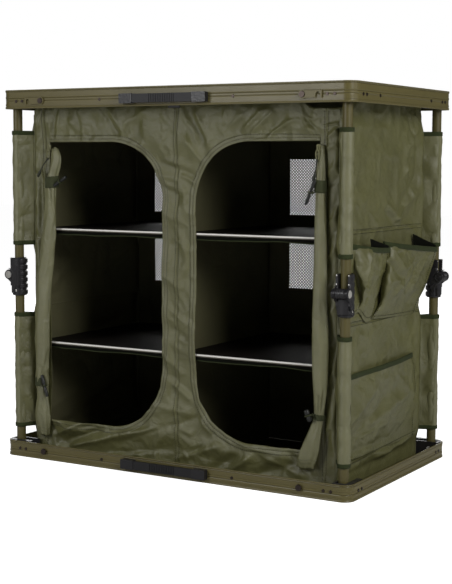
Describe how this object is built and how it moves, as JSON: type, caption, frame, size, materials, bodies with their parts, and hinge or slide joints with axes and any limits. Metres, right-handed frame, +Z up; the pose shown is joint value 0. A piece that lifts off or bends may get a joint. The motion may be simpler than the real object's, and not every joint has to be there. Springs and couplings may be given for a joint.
{
  "type": "collapsible storage box",
  "caption": "Folding camping cupboard: two case halves on hinged legs, with a fabric cabinet, shelves and rolled doors.",
  "frame": {"origin": "middle of the rails' footprint, on the ground", "axes": "+X to the right and +Y to the back as seen from the doors, +Z up"},
  "size_m": [0.8, 0.4829, 0.76],
  "materials": {
    "frame_metal": "powder coated, satin",
    "case_panel": "powder coated, satin",
    "leg_tube": "powder coated, satin",
    "black_plastic": "moulded, slight gloss",
    "grey_pin": "satin",
    "steel": "satin",
    "shelf_board": "dark laminate, glossy",
    "shelf_trim": "satin",
    "olive_cloth": "plain weave with a coating",
    "dark_cloth": "plain weave",
    "grey_mesh": "open mesh",
    "green_webbing": "woven webbing"
  },
  "bodies": {
    "bottom_frame": {"bottom_rail": "frame_metal", "bottom_panel": "case_panel", "bottom_corner_brackets": "black_plastic", "bottom_leg_pins": "grey_pin", "bottom_rivets": "steel", "bottom_handle_ends": "black_plastic", "front_panel": "olive_cloth", "back_panel": "dark_cloth", "back_mesh": "grey_mesh", "left_side_panel": "olive_cloth", "right_side_panel": "olive_cloth", "centre_divider": "olive_cloth", "corner_wings": "olive_cloth", "side_pockets": "olive_cloth", "left_door_roll": "olive_cloth", "right_door_roll": "olive_cloth", "roll_straps": "green_webbing", "door_fittings": "black_plastic"},
    "bottom_grip": {"bottom_handle_grip": "black_plastic"},
    "top_frame": {"top_rail": "frame_metal", "top_panel": "case_panel", "top_corner_brackets": "black_plastic", "top_leg_pins": "grey_pin", "top_rivets": "steel", "top_handle_ends": "black_plastic"},
    "top_grip": {"top_handle_grip": "black_plastic"},
    "left_latch": {"left_latch": "steel"},
    "right_latch": {"right_latch": "steel"},
    "upper_shelves": {"upper_shelf_boards": "shelf_board", "upper_shelf_trims": "shelf_trim"},
    "lower_shelves": {"lower_shelf_boards": "shelf_board", "lower_shelf_trims": "shelf_trim"},
    "front_left_lower_leg": {"front_left_lower_tube": "leg_tube", "front_left_knee_socket": "black_plastic", "front_left_knee_pin": "grey_pin", "front_left_lower_sleeve": "olive_cloth"},
    "front_left_upper_leg": {"front_left_upper_tube": "leg_tube", "front_left_knee_yoke": "black_plastic", "front_left_upper_sleeve": "olive_cloth"},
    "front_right_lower_leg": {"front_right_lower_tube": "leg_tube", "front_right_knee_socket": "black_plastic", "front_right_knee_pin": "grey_pin", "front_right_lower_sleeve": "olive_cloth"},
    "front_right_upper_leg": {"front_right_upper_tube": "leg_tube", "front_right_knee_yoke": "black_plastic", "front_right_upper_sleeve": "olive_cloth"},
    "back_right_lower_leg": {"back_right_lower_tube": "leg_tube", "back_right_knee_socket": "black_plastic", "back_right_knee_pin": "grey_pin", "back_right_lower_sleeve": "olive_cloth"},
    "back_right_upper_leg": {"back_right_upper_tube": "leg_tube", "back_right_knee_yoke": "black_plastic", "back_right_upper_sleeve": "olive_cloth"},
    "back_left_lower_leg": {"back_left_lower_tube": "leg_tube", "back_left_knee_socket": "black_plastic", "back_left_knee_pin": "grey_pin", "back_left_lower_sleeve": "olive_cloth"},
    "back_left_upper_leg": {"back_left_upper_tube": "leg_tube", "back_left_knee_yoke": "black_plastic", "back_left_upper_sleeve": "olive_cloth"}
  },
  "joints": [
    {"name": "fold", "type": "hinge", "parent": "bottom_frame", "child": "front_left_lower_leg", "pos_m": [-0.376, -0.212, 0.019], "axis": [0, 1, 0], "range_deg": [0, 90], "deforming": ["front_panel", "back_panel", "back_mesh", "left_side_panel", "right_side_panel", "centre_divider", "corner_wings", "side_pockets", "left_door_roll", "right_door_roll", "roll_straps", "door_fittings"]},
    {"name": "front_left_knee", "type": "hinge", "parent": "front_left_lower_leg", "child": "front_left_upper_leg", "pos_m": [-0.393, -0.212, 0.38], "axis": [0, 1, 0], "range_deg": [-180, 0]},
    {"name": "front_right_foot", "type": "hinge", "parent": "bottom_frame", "child": "front_right_lower_leg", "pos_m": [0.376, -0.212, 0.019], "axis": [-1, 0, 0], "range_deg": [0, 90]},
    {"name": "front_right_knee", "type": "hinge", "parent": "front_right_lower_leg", "child": "front_right_upper_leg", "pos_m": [0.376, -0.229, 0.38], "axis": [-1, 0, 0], "range_deg": [-180, 0]},
    {"name": "back_right_foot", "type": "hinge", "parent": "bottom_frame", "child": "back_right_lower_leg", "pos_m": [0.376, 0.212, 0.019], "axis": [0, -1, 0], "range_deg": [0, 90]},
    {"name": "back_right_knee", "type": "hinge", "parent": "back_right_lower_leg", "child": "back_right_upper_leg", "pos_m": [0.393, 0.212, 0.38], "axis": [0, -1, 0], "range_deg": [-180, 0]},
    {"name": "back_left_foot", "type": "hinge", "parent": "bottom_frame", "child": "back_left_lower_leg", "pos_m": [-0.376, 0.212, 0.019], "axis": [1, 0, 0], "range_deg": [0, 90]},
    {"name": "back_left_knee", "type": "hinge", "parent": "back_left_lower_leg", "child": "back_left_upper_leg", "pos_m": [-0.376, 0.229, 0.38], "axis": [1, 0, 0], "range_deg": [-180, 0]},
    {"name": "top_hinge", "type": "hinge", "parent": "front_left_upper_leg", "child": "top_frame", "pos_m": [-0.376, -0.212, 0.741], "axis": [0, 1, 0], "range_deg": [0, 90]},
    {"name": "upper_shelf_drop", "type": "slide", "parent": "bottom_frame", "child": "upper_shelves", "axis": [0, 0, 1], "range_m": [-0.4315, 0]},
    {"name": "lower_shelf_drop", "type": "slide", "parent": "bottom_frame", "child": "lower_shelves", "axis": [0, 0, 1], "range_m": [-0.2154, 0]},
    {"name": "left_latch_turn", "type": "hinge", "parent": "top_frame", "child": "left_latch", "pos_m": [-0.297, -0.2374, 0.737], "axis": [0, -1, 0], "range_deg": [0, 90]},
    {"name": "right_latch_turn", "type": "hinge", "parent": "top_frame", "child": "right_latch", "pos_m": [0.297, -0.2374, 0.737], "axis": [0, 1, 0], "range_deg": [0, 90]},
    {"name": "top_grip_pull", "type": "slide", "parent": "top_frame", "child": "top_grip", "axis": [0, -1, 0], "range_m": [0, 0.006]},
    {"name": "bottom_grip_pull", "type": "slide", "parent": "bottom_frame", "child": "bottom_grip", "axis": [0, -1, 0], "range_m": [0, 0.006]}
  ],
  "couplings": [
    {"joint": "front_left_knee", "follows": "fold", "ratio": -2},
    {"joint": "front_right_foot", "follows": "fold", "ratio": 1},
    {"joint": "front_right_knee", "follows": "fold", "ratio": -2},
    {"joint": "back_right_foot", "follows": "fold", "ratio": 1},
    {"joint": "back_right_knee", "follows": "fold", "ratio": -2},
    {"joint": "back_left_foot", "follows": "fold", "ratio": 1},
    {"joint": "back_left_knee", "follows": "fold", "ratio": -2},
    {"joint": "top_hinge", "follows": "fold", "ratio": 1},
    {"joint": "upper_shelf_drop", "follows": "fold", "m_per_rad": -0.27437},
    {"joint": "lower_shelf_drop", "follows": "fold", "m_per_rad": -0.13681}
  ]
}
